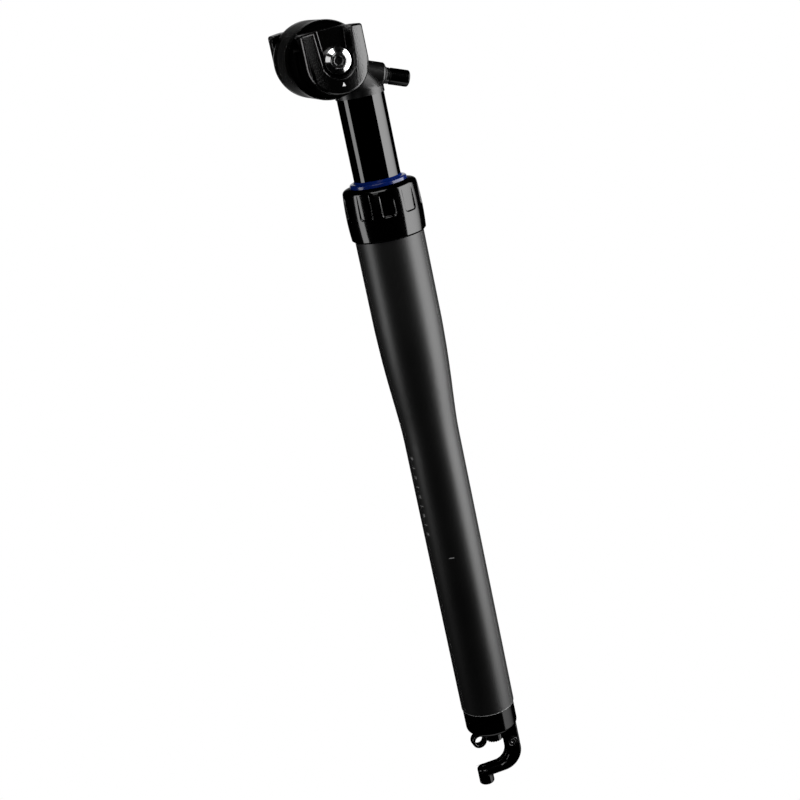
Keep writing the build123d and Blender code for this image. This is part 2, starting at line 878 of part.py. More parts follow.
def valve_cap():
    body = valve_bar(valve_cap_radius, valve_cap_start, valve_cap_end)
    rims = body.edges().filter_by(GeomType.CIRCLE).sort_by(Axis.X)
    body = chamfer(rims[0], valve_cap_lead)
    body = fillet(body.edges().filter_by(GeomType.CIRCLE).sort_by(Axis.X)[-1], valve_cap_edge)
    bore = valve_thread_radius + running_fit
    return body - valve_bar(bore, valve_cap_start - overrun, valve_cap_end - valve_cap_wall)


def rail_bar(y):
    reach = clamp_width
    return along_x(rail_radius, drum_x - reach, drum_x + reach, rail_z, y)


def cradle_right():
    """Round plate turned about the bolt's axis, with a hub in the drum and a half groove for the rail."""
    straight = cradle_inner + (cradle_outer - cradle_inner) * cradle_straight_share
    hub = drum_bore_radius - running_fit
    hub_end = cradle_inner - cradle_hub
    drawn_in = (cradle_radius - cradle_face_radius) * cradle_edge_share
    edge = ThreePointArc(
        (cradle_radius, straight),
        (cradle_radius - drawn_in, (straight + cradle_outer) / 2),
        (cradle_face_radius, cradle_outer),
    )
    inner = Polyline(
        (cradle_face_radius, cradle_outer),
        (bolt_room_radius, cradle_outer),
        (bolt_room_radius, hub_end),
        (hub, hub_end),
        (hub, cradle_inner),
        (cradle_radius, cradle_inner),
        (cradle_radius, straight),
    )
    return facing_right(0, drum_x, drum_z) * turned(edge, inner) - rail_bar(-rail_y)


def pocket():
    """U-shaped pocket, open and wider at the top, with drafted walls."""
    lean = math.radians(pocket_lean)
    radius = pocket_floor_radius
    high = clamp_top - drum_z + pocket_depth
    touch = (radius * math.cos(lean), -radius * math.sin(lean))
    top = touch[0] + (high - touch[1]) * math.tan(lean)
    face = make_face(Polyline((-touch[0], touch[1]), (-top, high), (top, high), touch, close=True))
    face += Circle(radius)
    return extrude(facing_right(washer_seat, drum_x, drum_z) * face, pocket_depth + overrun, taper=-pocket_draft)


def outer_clamp_right(hole_radius=bolt_room_radius):
    """Shield-shaped clamp with a crowned face, a pocket for the bolt and a half groove for the rail."""
    height = clamp_top - clamp_low
    plane = facing_right(clamp_inner, drum_x, clamp_low + height / 2)
    face = Rectangle(clamp_width, height) & Pos(0, height / 2 - clamp_top_arc) * Circle(clamp_top_arc)
    face = fillet(face.vertices().group_by(Axis.Y)[0], clamp_corner)
    face = fillet(face.vertices().group_by(Axis.Y)[-1], clamp_top_corner)
    body = extrude(plane * face, clamp_thickness)
    body &= bar(clamp_crown_radius, clamp_low, clamp_top, x=drum_x, y=clamp_crown_radius - clamp_outer)
    body = chamfer(body.faces().sort_by(Axis.Y)[0].edges(), clamp_edge)
    body -= pocket()
    body -= crossbar(hole_radius, -clamp_outer - overrun, -clamp_inner + overrun, drum_x, drum_z)
    return body - rail_bar(-rail_y)


def cone_washer_right(hole_radius=bolt_radius + running_fit):
    """Washer with a cone-shaped outer face and a sunk seat for the bolt's head, on the pocket's floor."""
    rim = washer_low + washer_land
    head_room = bolt_head_radius + running_fit
    sunk = washer_height + bolt_head_stand - bolt_head_height
    outline = Polyline(
        (hole_radius, 0),
        (washer_foot_radius, 0),
        (washer_radius, washer_low),
        (washer_radius, rim),
        (head_room, washer_height),
        (head_room, sunk),
        (hole_radius, sunk),
        close=True,
    )
    return facing_right(washer_seat, drum_x, drum_z) * turned(outline)


def clamp_bolt():
    body = crossbar(bolt_radius, -bolt_seat, bolt_seat - bolt_end_gap, drum_x, drum_z)
    start = -bolt_seat - bolt_head_height
    body += crossbar(bolt_head_radius, start, -bolt_seat, drum_x, drum_z)
    body = chamfer(body.edges().group_by(Axis.Y)[0], bolt_edge)
    return body - hex_socket(bolt_key, start, start + bolt_key_depth, drum_x, drum_z)


def nut_hole():
    """Radius of the hole that the nut's sleeve fits in."""
    return nut_sleeve_radius + running_fit


def clamp_nut():
    """Nut with a round head and a sleeve that reaches back through the clamp."""
    end = bolt_seat + bolt_head_height
    body = crossbar(bolt_head_radius, bolt_seat, end, drum_x, drum_z)
    body = chamfer(body.edges().group_by(Axis.Y)[-1], bolt_edge)
    body += crossbar(nut_sleeve_radius, nut_start, bolt_seat, drum_x, drum_z)
    body -= crossbar(bolt_radius + running_fit, nut_start - overrun, bolt_seat, drum_x, drum_z)
    return body - hex_socket(bolt_key, end - bolt_key_depth, end, drum_x, drum_z)


pieces = {
    "outer_tube": outer_tube,
    "collar": collar,
    "wiper_seal": wiper_seal,
    "collar_seal": collar_seal,
    "upper_bushing": upper_bushing,
    "lower_bushing": lower_bushing,
    "key_sleeve": key_sleeve,
    "guide_keys": guide_keys,
    "shaft": shaft,
    "shaft_foot": shaft_foot,
    "top_out_bumper": top_out_bumper,
    "bottom_out_bumper": bottom_out_bumper,
    "stalk_tube": stalk_tube,
    "collet": collet,
    "expander": expander,
    "cross_pin": cross_pin,
    "release_rod": release_rod,
    "spring_clip": spring_clip,
    "return_spring": return_spring,
    "air_piston": air_piston,
    "piston_seal": piston_seal,
    "bottom_cap": bottom_cap,
    "cap_seal": cap_seal,
    "arm_pin": arm_pin,
    "cable_arm": cable_arm,
    "lever_screw": lever_screw,
    "cable_lever": cable_lever,
    "rod_end": rod_end,
    "head": head,
    "head_seal": head_seal,
    "valve_body": valve_body,
    "valve_seal": valve_seal,
    "valve_pin": valve_pin,
    "valve_cap": valve_cap,
    "cradle_right": cradle_right,
    "cradle_left": lambda: mirrored(cradle_right()),
    "outer_clamp_right": outer_clamp_right,
    "outer_clamp_left": lambda: mirrored(outer_clamp_right(nut_hole())),
    "cone_washer_right": cone_washer_right,
    "cone_washer_left": lambda: mirrored(cone_washer_right(nut_hole())),
    "clamp_bolt": clamp_bolt,
    "clamp_nut": clamp_nut,
}

os.makedirs("parts", exist_ok=True)
for name, make in pieces.items():
    export_step(make(), f"parts/{name}.step")
    print("made", name)
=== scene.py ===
import json
import math
import bmesh
import bpy
import numpy as np
from mathutils import Matrix, Vector


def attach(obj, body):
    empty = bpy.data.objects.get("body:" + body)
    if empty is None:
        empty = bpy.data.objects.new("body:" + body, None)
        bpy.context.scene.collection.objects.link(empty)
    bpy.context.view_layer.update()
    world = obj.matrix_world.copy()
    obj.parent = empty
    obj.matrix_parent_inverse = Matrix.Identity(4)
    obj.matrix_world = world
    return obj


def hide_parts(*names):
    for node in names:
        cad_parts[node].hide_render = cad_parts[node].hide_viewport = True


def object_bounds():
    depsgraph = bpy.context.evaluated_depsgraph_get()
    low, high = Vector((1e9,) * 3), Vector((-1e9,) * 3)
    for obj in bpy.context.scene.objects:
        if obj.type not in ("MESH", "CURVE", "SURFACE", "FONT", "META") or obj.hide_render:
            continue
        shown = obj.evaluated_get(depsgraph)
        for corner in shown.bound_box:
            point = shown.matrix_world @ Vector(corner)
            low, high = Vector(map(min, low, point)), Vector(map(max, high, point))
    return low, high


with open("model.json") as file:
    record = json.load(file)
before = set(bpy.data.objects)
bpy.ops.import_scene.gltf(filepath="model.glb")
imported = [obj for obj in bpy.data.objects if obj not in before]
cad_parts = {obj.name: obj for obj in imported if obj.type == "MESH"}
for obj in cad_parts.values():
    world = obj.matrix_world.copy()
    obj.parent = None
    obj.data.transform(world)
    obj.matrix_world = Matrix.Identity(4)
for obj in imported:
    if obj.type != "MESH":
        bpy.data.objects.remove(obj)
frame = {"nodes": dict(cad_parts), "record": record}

mm = 0.001
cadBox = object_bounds()
nodes = frame["nodes"]
bodyOf = {node: body for body, group in frame["record"]["behaviour"]["bodies"].items() for node in group}
print("frame loaded:", len(nodes), "nodes")


def addObject(name, data):
    obj = bpy.data.objects.new(name, data)
    bpy.context.scene.collection.objects.link(obj)
    return obj


def stand(obj, place, right, up, back):
    # puts a camera or lamp at a place, with its own three axes along these
    obj.matrix_world = Matrix.Translation(place) @ Matrix((right, up, back)).transposed().to_4x4()


# Camera: it looks down at the post from the rider's right, a little from behind

camera = {
    "place": (-0.17811, -0.66764, 0.37739),
    "right": (0.93402846, -0.29537564, -0.20085833),
    "up": (0.27194382, 0.22343371, 0.93601492),
    "lens": 67.5,
    "sensor": 36.0,
    "nearest": 0.01,
    "farthest": 20.0,
}


def addCamera():
    p = camera
    data = bpy.data.cameras.new("camera")
    data.lens = p["lens"]
    data.sensor_width = p["sensor"]
    data.clip_start = p["nearest"]
    data.clip_end = p["farthest"]
    obj = addObject("camera", data)
    right, up = Vector(p["right"]), Vector(p["up"])
    stand(obj, p["place"], right, up, right.cross(up))
    bpy.context.scene.camera = obj
    print("camera placed")


# Node boards: arithmetic on sockets, and one way to put any node

class Wire:
    # one output socket; + - * / and comparisons on it add Math nodes
    def __init__(self, board, socket):
        self.board, self.socket = board, socket

    def act(self, operation, *values):
        return self.board.put("Math", {"operation": operation}, dict(enumerate(values)))

    def __add__(self, other):
        return self.act("ADD", self, other)

    def __radd__(self, other):
        return self.act("ADD", other, self)

    def __sub__(self, other):
        return self.act("SUBTRACT", self, other)

    def __rsub__(self, other):
        return self.act("SUBTRACT", other, self)

    def __mul__(self, other):
        return self.act("MULTIPLY", self, other)

    def __rmul__(self, other):
        return self.act("MULTIPLY", other, self)

    def __truediv__(self, other):
        return self.act("DIVIDE", self, other)

    def __rtruediv__(self, other):
        return self.act("DIVIDE", other, self)

    def __gt__(self, other):
        return self.act("GREATER_THAN", self, other)

    def __lt__(self, other):
        return self.act("LESS_THAN", self, other)

    def size(self):
        return self.act("ABSOLUTE", self)

    def clip(self):
        return self.board.put("Clamp", {}, {"Value": self})

    def ramp(self, low, high):
        # smooth step from 0 at low to 1 at high
        settings = {"interpolation_type": "SMOOTHSTEP"}
        return self.board.put("MapRange", settings, {"Value": self, "From Min": low, "From Max": high})


class Board:
    # a node tree that is filled by put()
    def __init__(self, tree):
        self.tree = tree
        tree.nodes.clear()
        self.point = None

    def put(self, kind, settings, inputs, out=0):
        # any node: its type, its settings, the values or wires of its sockets, and which output is wanted
        node = self.tree.nodes.new("ShaderNode" + kind)
        for name, value in settings.items():
            setattr(node, name, value)
        for name, value in inputs.items():
            socket = node.inputs[name]
            if isinstance(value, Wire):
                self.tree.links.new(value.socket, socket)
            else:
                socket.default_value = value
        return Wire(self, node.outputs[out]) if len(node.outputs) else None

    def place(self):
        # Object coordinates, in metres in the CAD's frame
        if self.point is None:
            self.point = self.put("TexCoord", {}, {}, "Object")
        return self.point

    def axis(self, letter):
        return self.put("SeparateXYZ", {}, {0: self.place()}, letter)

    def stretched(self, scale):
        return self.put("Mapping", {"vector_type": "POINT"}, {"Vector": self.place(), "Scale": scale})

    def noise(self, scale, detail, rough, at=None):
        return self.put("TexNoise", {}, {"Vector": at or self.place(), "Scale": scale, "Detail": detail,
                                         "Roughness": rough})

    def cells(self, scale):
        return self.put("TexVoronoi", {}, {"Vector": self.place(), "Scale": scale})

    def blend(self, share, low, high):
        # colour mix: low where the share is 0, high where it is 1
        return self.put("Mix", {"data_type": "RGBA"}, {0: share, 6: low, 7: high}, 2)

    def drift(self, share, color, tones):
        # the colour drifts between two strengths of itself
        low, high = (tuple(c * tone for c in color[:3]) + (1.0,) for tone in tones)
        return self.blend(share, low, high)

    def bump(self, height, distance):
        return self.put("Bump", {}, {"Height": height, "Distance": distance, "Strength": 1.0})


def grey(value, warm=0.0):
    return (value * (1 + warm), value, value * (1 - warm), 1.0)


def shade(name):
    # a new material and its board
    material = bpy.data.materials.new(name)
    material.use_nodes = True
    return material, Board(material.node_tree)


def finishShade(material, board, inputs):
    shader = board.put("BsdfPrincipled", {}, inputs)
    board.put("OutputMaterial", {}, {"Surface": shader})
    return material


# Faint print on the tube: a height scale on its rear right, and a dash on each side for the least insertion

tubePrint = {
    "radius": 13.6 * mm,
    "tone": 0.22,
    "line": 0.20 * mm,
    "scaleTurn": -163.5,
    "tickHalf": 4.5,
    "ticks": (105.7, 115.7, 125.7, 135.7),
    "numbers": {"14": 100.7, "13": 110.7, "12": 120.7, "11": 130.7, "10": 140.7},
    "numberSize": 2.0 * mm,
    "numberThick": 0.03 * mm,
    "numberBold": 0.05 * mm,
    "numberSteps": 4,
    "dashTurn": 116.0,
    "dashHalf": 5.4,
    "dashHeight": 88.4,
}


def near(value, middle, half):
    # 1 where a value lies within half of the middle, else 0
    return (value - middle).size() < half


def tubeMarks(board, z):
    # 1 on the ticks and the dashes, 0 elsewhere
    p = tubePrint
    y, x = board.axis("Y"), board.axis("X")
    turn = board.put("Math", {"operation": "ARCTAN2"}, {0: y, 1: x}) * math.degrees(1)
    marks = near(turn.size(), p["dashTurn"], p["dashHalf"]) * near(z, p["dashHeight"] * mm, p["line"])
    for height in p["ticks"]:
        marks = marks + near(turn, p["scaleTurn"], p["tickHalf"]) * near(z, height * mm, p["line"])
    return marks


# Satin tube: base is what black anodising reflects head-on, edge what it reflects at a grazing angle. Rub is
# long faint wear along the tube. A lighter, less metallic and smoother band runs round its lower end.

satinTube = {
    "base": 0.058,
    "edge": 0.10,
    "rough": 0.40,
    "grain": 1500.0,
    "grainHeight": 0.010 * mm,
    "grainRough": 0.06,
    "cloud": 22.0,
    "cloudTones": (0.92, 1.08),
    "cloudRough": 0.08,
    "rub": (160.0, 160.0, 9.0),
    "rubFrom": 0.62,
    "rubTo": 0.80,
    "rubShare": 0.10,
    "rubTone": 1.9,
    "lowRimTone": 0.55,
    "lowRimHeight": 0.32 * mm,
    "lowRimFade": 1.3,
    "lowRimDull": 0.7,
    "lowRimSmooth": 0.15,
}


def satinTubeShade():
    # finely blasted black anodising, a little uneven
    p = satinTube
    material, board = shade("satinTube")
    z = board.axis("Z")
    grain = board.noise(p["grain"], 3.0, 0.6)
    cloud = board.noise(p["cloud"], 3.0, 0.55)
    rub = board.noise(1.0, 4.0, 0.6, at=board.stretched(p["rub"])).ramp(p["rubFrom"], p["rubTo"])
    # a lighter, less metallic and smoother band round the tube's lower end
    lowRim = 1 - z.ramp(p["lowRimHeight"], p["lowRimHeight"] * p["lowRimFade"])
    marks = tubeMarks(board, z)
    tone = board.drift(cloud, grey(p["base"]), p["cloudTones"])
    tone = board.blend(rub * p["rubShare"], tone, grey(p["base"] * p["rubTone"]))
    tone = board.blend(marks, tone, grey(tubePrint["tone"]))
    tone = board.blend(lowRim, tone, grey(p["lowRimTone"]))
    rough = (p["rough"] + (cloud - 0.5) * p["cloudRough"] + (grain - 0.5) * p["grainRough"]
             - lowRim * p["lowRimSmooth"])
    return finishShade(material, board, {
        "Base Color": tone, "Metallic": (1 - lowRim * p["lowRimDull"]) * (1 - marks), "Roughness": rough,
        "Specular Tint": grey(p["edge"]), "Normal": board.bump(grain, p["grainHeight"])})


# Gloss black: turned, polished and anodised, mirror-like with hair-fine lines round the post and a little dust

glossBlack = {
    "lines": (30.0, 30.0, 9000.0),
    "lineHeight": 0.0006 * mm,
    "lineRough": 0.03,
    "cloud": 60.0,
    "cloudTones": (0.94, 1.06),
    "cloudRough": 0.02,
    "dust": 700.0,
    "dustFrom": 0.66,
    "dustTo": 0.78,
    "dustRough": 0.10,
    "edge": 0.10,
}
glossFinishes = {
    "glossShaft": {"base": 0.055, "rough": 0.045, "on": ("shaft",)},
    "glossBlack": {"base": 0.052, "rough": 0.10, "on": ("collar", "bottom_cap", "cable_arm")},
    "leverMetal": {"base": 0.10, "rough": 0.16, "on": ("cable_lever", "rod_end")},
    "valveCapBlack": {"base": 0.030, "rough": 0.16, "on": ("valve_cap",)},
    "valveDark": {"base": 0.09, "rough": 0.25, "on": ("valve_body",)},
}


def glossShade(name, finish):
    p = glossBlack
    material, board = shade(name)
    lines = board.noise(1.0, 3.0, 0.7, at=board.stretched(p["lines"]))
    cloud = board.noise(p["cloud"], 2.0, 0.5)
    dust = board.noise(p["dust"], 2.0, 0.7).ramp(p["dustFrom"], p["dustTo"])
    tone = board.drift(cloud, grey(finish["base"]), p["cloudTones"])
    rough = (finish["rough"] + (lines - 0.5) * p["lineRough"] + dust * p["dustRough"]
             + (cloud - 0.5) * p["cloudRough"])
    return finishShade(material, board, {
        "Base Color": tone, "Metallic": 1.0, "Roughness": rough,
        "Specular Tint": grey(p["edge"]), "Normal": board.bump(lines, p["lineHeight"])})


# Plain triangle on the outer clamps' crowned faces, point up

clampArrow = {
    "x": -15.4 * mm,
    "z": 323.3 * mm,
    "width": 1.55 * mm,
    "height": 1.65 * mm,
    "outside": 31.0 * mm,
    "tone": 0.75,
}


def arrowMark(board):
    # the half width falls steadily from the triangle's foot to its point
    p = clampArrow
    up = (board.axis("Z") - (p["z"] - p["height"] / 2)) / p["height"]
    half = (1 - up) * (p["width"] / 2)
    inside = (board.axis("X") - p["x"]).size() < half
    return inside * (up > 0.0) * (board.axis("Y").size() > p["outside"])


# Forged black: forged and blasted, a leathery grain of pits and fine bumps under the anodising

forgedBlack = {
    "fine": 2.2,
    "pitHeight": 0.6,
    "fineHeight": 0.5,
    "cloud": 90.0,
    "cloudTones": (0.88, 1.12),
    "cloudRough": 0.06,
    "wearFrom": 0.55,
    "wearTo": 0.75,
    "wearShare": 0.35,
    "wearTone": 1.5,
    "fineRough": 0.12,
}
forgedFinishes = {
    "forgedBlack": {"base": 0.060, "rough": 0.19, "grain": 1500.0, "grainHeight": 0.05 * mm, "edge": 0.12,
                    "arrow": True, "on": ("outer_clamp_right", "outer_clamp_left")},
    "forgedSmooth": {"base": 0.055, "rough": 0.32, "grain": 2500.0, "grainHeight": 0.006 * mm, "edge": 0.12,
                     "arrow": False, "on": ("head",)},
    # the cradles' finish is the same forged black painted darker, with a weaker grazing reflection: painted
    # shade on the cradles between the clamps
    "forgedCradlePaintedShade": {"base": 0.026, "rough": 0.20, "grain": 2500.0, "grainHeight": 0.006 * mm, "edge": 0.08,
                     "arrow": False, "on": ("cradle_left", "cradle_right")},
}


def forgedShade(name, finish):
    p = forgedBlack
    material, board = shade(name)
    pits = board.cells(finish["grain"])
    fine = board.noise(finish["grain"] * p["fine"], 3.0, 0.6)
    cloud = board.noise(p["cloud"], 3.0, 0.6)
    wear = fine.ramp(p["wearFrom"], p["wearTo"]) * p["wearShare"]
    tone = board.drift(cloud, grey(finish["base"]), p["cloudTones"])
    tone = board.blend(wear, tone, grey(finish["base"] * p["wearTone"]))
    metal = 1.0
    if finish["arrow"]:
        mark = arrowMark(board)
        tone = board.blend(mark, tone, grey(clampArrow["tone"]))
        metal = 1 - mark
    rough = finish["rough"] + (fine - 0.5) * p["fineRough"] + (cloud - 0.5) * p["cloudRough"]
    grain = pits * p["pitHeight"] + fine * p["fineHeight"]
    return finishShade(material, board, {
        "Base Color": tone, "Metallic": metal, "Roughness": rough,
        "Specular Tint": grey(finish["edge"]), "Normal": board.bump(grain, finish["grainHeight"])})


# Bright metal: bare or plated, with turning lines; warm makes it yellower

brightMetal = {
    "lines": 4000.0,
    "lineHeight": 0.001 * mm,
    "lineRough": 0.05,
    "cloud": 140.0,
    "cloudTones": (0.92, 1.05),
    "cloudRough": 0.05,
}
brightFinishes = {
    "washerChrome": {"base": 0.78, "rough": 0.10, "warm": 0.0, "on": ("cone_washer_right", "cone_washer_left")},
    "boltSteel": {"base": 0.42, "rough": 0.18, "warm": 0.0, "on": ("clamp_bolt", "clamp_nut", "lever_screw")},
    "valveBrass": {"base": 0.50, "rough": 0.22, "warm": 0.25, "on": ("valve_pin", "guide_keys")},
    "innerAluminium": {"base": 0.60, "rough": 0.28, "warm": 0.0,
                       "on": ("shaft_foot", "stalk_tube", "air_piston", "collet", "expander")},
    "innerSteel": {"base": 0.48, "rough": 0.22, "warm": 0.0,
                   "on": ("release_rod", "spring_clip", "return_spring", "cross_pin", "arm_pin")},
}


def brightShade(name, finish):
    p = brightMetal
    material, board = shade(name)
    lines = board.noise(p["lines"], 2.0, 0.5)
    cloud = board.noise(p["cloud"], 3.0, 0.6)
    tone = board.drift(cloud, grey(finish["base"], finish["warm"]), p["cloudTones"])
    rough = finish["rough"] + (lines - 0.5) * p["lineRough"] + (cloud - 0.5) * p["cloudRough"]
    return finishShade(material, board, {
        "Base Color": tone, "Metallic": 1.0, "Roughness": rough, "Normal": board.bump(lines, p["lineHeight"])})


# Soft finishes: rubber, polyurethane, moulded polymer and print

softFinish = {
    "cloud": 70.0,
    "cloudTones": (0.85, 1.12),
    "grainRough": 0.10,
}
softFinishes = {
    "blueWiper": {"color": (0.0008, 0.009, 0.090), "rough": 0.17, "grain": 300.0, "grainHeight": 0.0005 * mm,
                  "on": ("wiper_seal",)},
    "sealRubber": {"color": (0.012, 0.012, 0.012), "rough": 0.5, "grain": 1200.0, "grainHeight": 0.006 * mm,
                   "on": ("collar_seal", "cap_seal", "head_seal", "valve_seal", "piston_seal",
                          "top_out_bumper", "bottom_out_bumper")},
    "bushingPolymer": {"color": (0.32, 0.30, 0.26), "rough": 0.35, "grain": 1200.0, "grainHeight": 0.006 * mm,
                       "on": ("upper_bushing", "lower_bushing", "key_sleeve")},
}
printFinish = {"color": grey(tubePrint["tone"]), "rough": 0.5, "grain": 1200.0, "grainHeight": 0.006 * mm}


def softShade(name, finish):
    p = softFinish
    material, board = shade(name)
    grain = board.noise(finish["grain"], 3.0, 0.6)
    cloud = board.noise(p["cloud"], 3.0, 0.5)
    tone = board.drift(cloud, finish["color"], p["cloudTones"])
    rough = finish["rough"] + (grain - 0.5) * p["grainRough"]
    return finishShade(material, board, {
        "Base Color": tone, "Roughness": rough, "Normal": board.bump(grain, finish["grainHeight"])})


def dress(material, names):
    for name in names:
        slots = nodes[name].data.materials
        slots.clear()
        slots.append(material)


def dressNodes():
    dress(satinTubeShade(), ("outer_tube",))
    for makeShade, finishes in ((glossShade, glossFinishes), (forgedShade, forgedFinishes),
                                (brightShade, brightFinishes), (softShade, softFinishes)):
        for name, finish in finishes.items():
            dress(makeShade(name, finish), finish["on"])
    print("nodes dressed")


def standFor(piece, node):
    # a new piece rides with a CAD node's body, and is shown in its place
    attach(piece, bodyOf[node])
    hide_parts(node)


# Broken edges: a merged copy of a CAD node gets a real small round on each edge sharper than the angle. Where
# it is full, the round keeps its width beside short edges too.

brokenEdges = {
    "outer_clamp_right": {"width": 0.45 * mm, "segments": 4, "angle": 25, "full": True},
    "outer_clamp_left": {"width": 0.45 * mm, "segments": 4, "angle": 25, "full": True},
    "cone_washer_right": {"width": 0.12 * mm, "segments": 3, "angle": 25, "full": False},
    "cone_washer_left": {"width": 0.12 * mm, "segments": 3, "angle": 25, "full": False},
    "clamp_bolt": {"width": 0.12 * mm, "segments": 3, "angle": 28, "full": False},
    "clamp_nut": {"width": 0.12 * mm, "segments": 3, "angle": 28, "full": False},
    "head": {"width": 0.25 * mm, "segments": 3, "angle": 28, "full": False},
    "cradle_right": {"width": 0.35 * mm, "segments": 3, "angle": 28, "full": False},
    "cradle_left": {"width": 0.35 * mm, "segments": 3, "angle": 28, "full": False},
    "cable_arm": {"width": 0.25 * mm, "segments": 4, "angle": 28, "full": True},
    "lever_screw": {"width": 0.12 * mm, "segments": 3, "angle": 28, "full": False},
    "cable_lever": {"width": 0.25 * mm, "segments": 3, "angle": 28, "full": False},
}
merging = {"doubles": 0.002 * mm, "slivers": 0.001 * mm, "flatAngle": 0.4}


def mergedCopy(node):
    # the node's loose triangles as one smooth mesh, with flat faces joined
    mesh = nodes[node].data.copy()
    mesh.name = node + "Broken"
    work = bmesh.new()
    work.from_mesh(mesh)
    bmesh.ops.remove_doubles(work, verts=work.verts, dist=merging["doubles"])
    bmesh.ops.dissolve_degenerate(work, edges=work.edges, dist=merging["slivers"])
    bmesh.ops.dissolve_limit(work, angle_limit=math.radians(merging["flatAngle"]),
                             verts=work.verts, edges=work.edges)
    for part in list(work.faces) + list(work.edges):
        part.smooth = True
    work.to_mesh(mesh)
    work.free()
    if "custom_normal" in mesh.attributes:
        mesh.attributes.remove(mesh.attributes["custom_normal"])
    return mesh


def breakEdges(node):
    p = brokenEdges[node]
    piece = addObject(node + "Piece", mergedCopy(node))
    bevel = piece.modifiers.new("brokenEdge", "BEVEL")
    bevel.width = p["width"]
    bevel.segments = p["segments"]
    bevel.limit_method = "ANGLE"
    bevel.angle_limit = math.radians(p["angle"])
    bevel.miter_outer = "MITER_ARC"
    bevel.use_clamp_overlap = not p["full"]
    weighted = piece.modifiers.new("facesFlat", "WEIGHTED_NORMAL")
    weighted.keep_sharp = True
    standFor(piece, node)


def turnedPiece(name, node, radius, height, turn, sharpAngle):
    # closed surface in place of a CAD node; radius and height, in mm, follow the outline's point and the turn
    points = np.stack([radius * np.cos(turn), radius * np.sin(turn), height], -1).reshape(-1, 3) * mm
    index = np.arange(len(points)).reshape(radius.shape)
    along, after = np.roll(index, -1, axis=0), np.roll(index, -1, axis=1)
    quads = np.stack([index, after, np.roll(along, -1, axis=1), along], -1).reshape(-1, 4)
    mesh = bpy.data.meshes.new(name)
    mesh.from_pydata(points.tolist(), [], quads.tolist())
    mesh.shade_smooth()
    mesh.set_sharp_from_angle(angle=math.radians(sharpAngle))
    mesh.materials.append(nodes[node].data.materials[0])
    standFor(addObject(name, mesh), node)


# Wiper ring: its outline is turned round the post. The outline runs up the bore, over the lip, down a round
# shoulder that follows an ellipse's quarter, down the ring's wall and round the skirt.

wiperRing = {
    "bore": 11.05,
    "lip": 11.75,
    "wall": 13.4,
    "skirt": 14.6,
    "seat": 263.9,
    "step": 270.2,
    "wallTop": 274.30,
    "top": 275.2,
    "lipTop": 276.0,
    "steps": 14,
    "spokes": 160,
    "sharpAngle": 32,
}


def addWiper():
    p = wiperRing
    bend = np.linspace(0, np.pi / 2, p["steps"])
    shoulder = np.stack([p["lip"] + (p["wall"] - p["lip"]) * np.sin(bend),
                         p["wallTop"] + (p["top"] - p["wallTop"]) * np.cos(bend)], -1)
    outline = np.vstack([[[p["bore"], p["seat"]], [p["bore"], p["lipTop"]]], shoulder,
                         [[p["wall"], p["step"]], [p["skirt"], p["step"]], [p["skirt"], p["seat"]]]])
    turn = np.linspace(0, 2 * np.pi, p["spokes"], endpoint=False)[None, :]
    radius, height = outline[:, :1] + 0 * turn, outline[:, 1:] + 0 * turn
    turnedPiece("wiperRing", "wiper_seal", radius, height, turn, p["sharpAngle"])
    print("wiper ring made")


# Collar: the outline's outside is one big arc, a small arc tangent to it and to the sloping top, and that top.
# In each notch the radius drops to the floor's, by a smooth step of the distance to the notch's outline, which
# is a rectangle with round lower corners, open at the top. Rows are heights above the notch's lower edge, and
# columns distances outside its side: from, to and how many, where None is the end of the surface.

collarShape = {
    "foot": ((16.3, 248.6), (16.735, 248.6)),
    "low": (17.635, 249.5),
    "crown": (18.05, 259.424),
    "shoulder": (17.328, 272.5),
    "top": (14.2, 273.2),
    "topRound": 2.0,
    "topSteps": 16,
    "inside": ((13.4, 273.2), (13.4, 270.2), (14.6, 270.2), (14.6, 262.0), (15.7, 262.0), (15.7, 250.0),
               (16.3, 250.0)),
    "notches": 10,
    "firstTurn": -98.0,
    "floor": 17.4,
    "width": 6.4,
    "bottom": 259.9,
    "corner": 1.3,
    "sideSoft": 0.24,
    "lowSoft": 0.48,
    "rows": ((None, -0.6, 10), (-0.44, 0.66, 22), (0.75, 1.5, 6), (1.8, None, 22)),
    "columns": ((None, -1.5, 5), (-1.4, -0.4, 8), (-0.32, 0.34, 15), (0.6, None, 7)),
    "sharpAngle": 40,
}


def spread(spans, first, last):
    # values in spans, closer together where the shape turns
    return np.concatenate([np.linspace(first if start is None else start, last if end is None else end, count)
                           for start, end, count in spans])


def collarOutside():
    p = collarShape
    low, crown, shoulder, top = (np.array(p[key]) for key in ("low", "crown", "shoulder", "top"))
    sides = 2 * np.array([crown - low, shoulder - low])
    centre = np.linalg.solve(sides, [crown @ crown - low @ low, shoulder @ shoulder - low @ low])
    big = np.linalg.norm(crown - centre)
    slope = (top - shoulder) / np.linalg.norm(top - shoulder)
    outward = np.array([slope[1], -slope[0]])
    start = shoulder - outward * p["topRound"] - centre
    run = -start @ slope - math.sqrt((start @ slope) ** 2 - start @ start + (big - p["topRound"]) ** 2)
    small = centre + start + slope * run
    firstTurn = math.atan2(*(small - centre)[::-1])
    lastTurn = math.atan2(outward[1], outward[0])
    bend = np.linspace(firstTurn, lastTurn, p["topSteps"])
    topArc = small + p["topRound"] * np.stack([np.cos(bend), np.sin(bend)], -1)
    height = p["bottom"] + spread(p["rows"], low[1] - p["bottom"], topArc[0][1] - p["bottom"])[:-1]
    side = np.stack([centre[0] + np.sqrt(big ** 2 - (height - centre[1]) ** 2), height], -1)
    return np.vstack([side, topArc, [top]])


